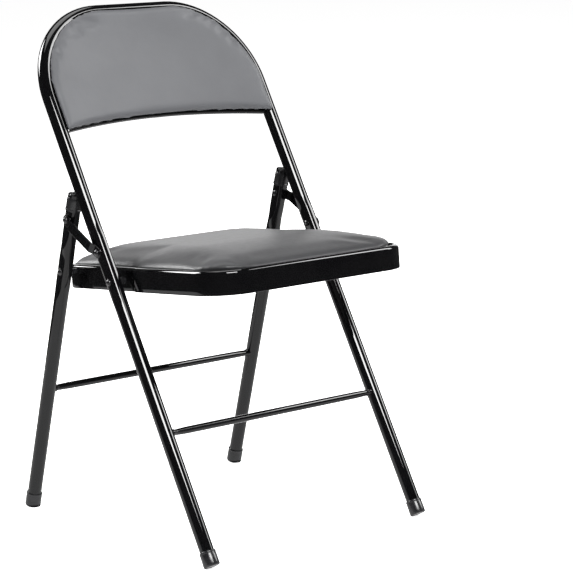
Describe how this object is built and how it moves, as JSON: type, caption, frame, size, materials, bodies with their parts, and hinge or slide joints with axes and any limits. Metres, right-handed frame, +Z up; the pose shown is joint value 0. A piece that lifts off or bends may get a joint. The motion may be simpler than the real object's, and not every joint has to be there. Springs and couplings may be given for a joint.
{
  "type": "folding chair",
  "caption": "Steel folding chair with a bent-tube frame, hinged rear legs, side links, a padded seat on a pressed pan and a padded curved backrest.",
  "frame": {"origin": "on the floor, under the middle of the open chair's overall box", "axes": "+Z up, -Y towards the front of the seat, +X to the sitter's left"},
  "size_m": [0.4416, 0.4668, 0.7728],
  "materials": {
    "black_enamel": "gloss black enamel",
    "black_plastic": "matte black moulded plastic",
    "black_fasteners": "gloss black coated steel",
    "board": "raw board",
    "back_vinyl": "smooth mid-grey vinyl",
    "seat_vinyl": "smooth dark grey vinyl with a soft sheen"
  },
  "bodies": {
    "frame": {"front_frame": "black_enamel", "front_stretcher": "black_enamel", "front_foot_caps": "black_plastic", "back_panel": "black_enamel", "back_board": "board", "back_cushion": "back_vinyl", "back_screws": "black_fasteners", "link_front_rivets": "black_fasteners", "seat_front_rivets": "black_fasteners", "seat_front_spacers": "black_plastic"},
    "left_link": {"left_link": "black_enamel"},
    "right_link": {"right_link": "black_enamel"},
    "rear_legs": {"left_rear_leg": "black_enamel", "right_rear_leg": "black_enamel", "rear_stretcher": "black_enamel", "rear_foot_caps": "black_plastic", "rear_leg_top_caps": "black_plastic", "link_rear_rivets": "black_fasteners", "seat_rear_rivets": "black_fasteners", "seat_rear_spacers": "black_plastic"},
    "seat": {"seat_pan": "black_enamel", "seat_board": "board", "seat_cushion": "seat_vinyl", "seat_screws": "black_fasteners", "seat_rear_rivet_tails": "black_fasteners"}
  },
  "joints": [
    {"name": "seat_fold", "type": "hinge", "parent": "frame", "child": "seat", "pos_m": [0, 0.00138, 0.38644], "axis": [1, 0, 0], "range_deg": [-105, 0]},
    {"name": "left_link_fold", "type": "hinge", "parent": "frame", "child": "left_link", "pos_m": [0, 0.02574, 0.4278], "axis": [1, 0, 0], "range_deg": [-127.83, 0]},
    {"name": "right_link_fold", "type": "hinge", "parent": "frame", "child": "right_link", "pos_m": [0, 0.02574, 0.4278], "axis": [1, 0, 0], "range_deg": [-127.83, 0]},
    {"name": "rear_legs_fold", "type": "hinge", "parent": "left_link", "child": "rear_legs", "pos_m": [0, 0.10189, 0.46749], "axis": [1, 0, 0], "range_deg": [0, 84.82]}
  ],
  "couplings": [
    {"joint": "left_link_fold", "follows": "seat_fold", "ratio": 1.2174},
    {"joint": "right_link_fold", "follows": "seat_fold", "ratio": 1.2174},
    {"joint": "rear_legs_fold", "follows": "seat_fold", "ratio": -0.80785}
  ]
}
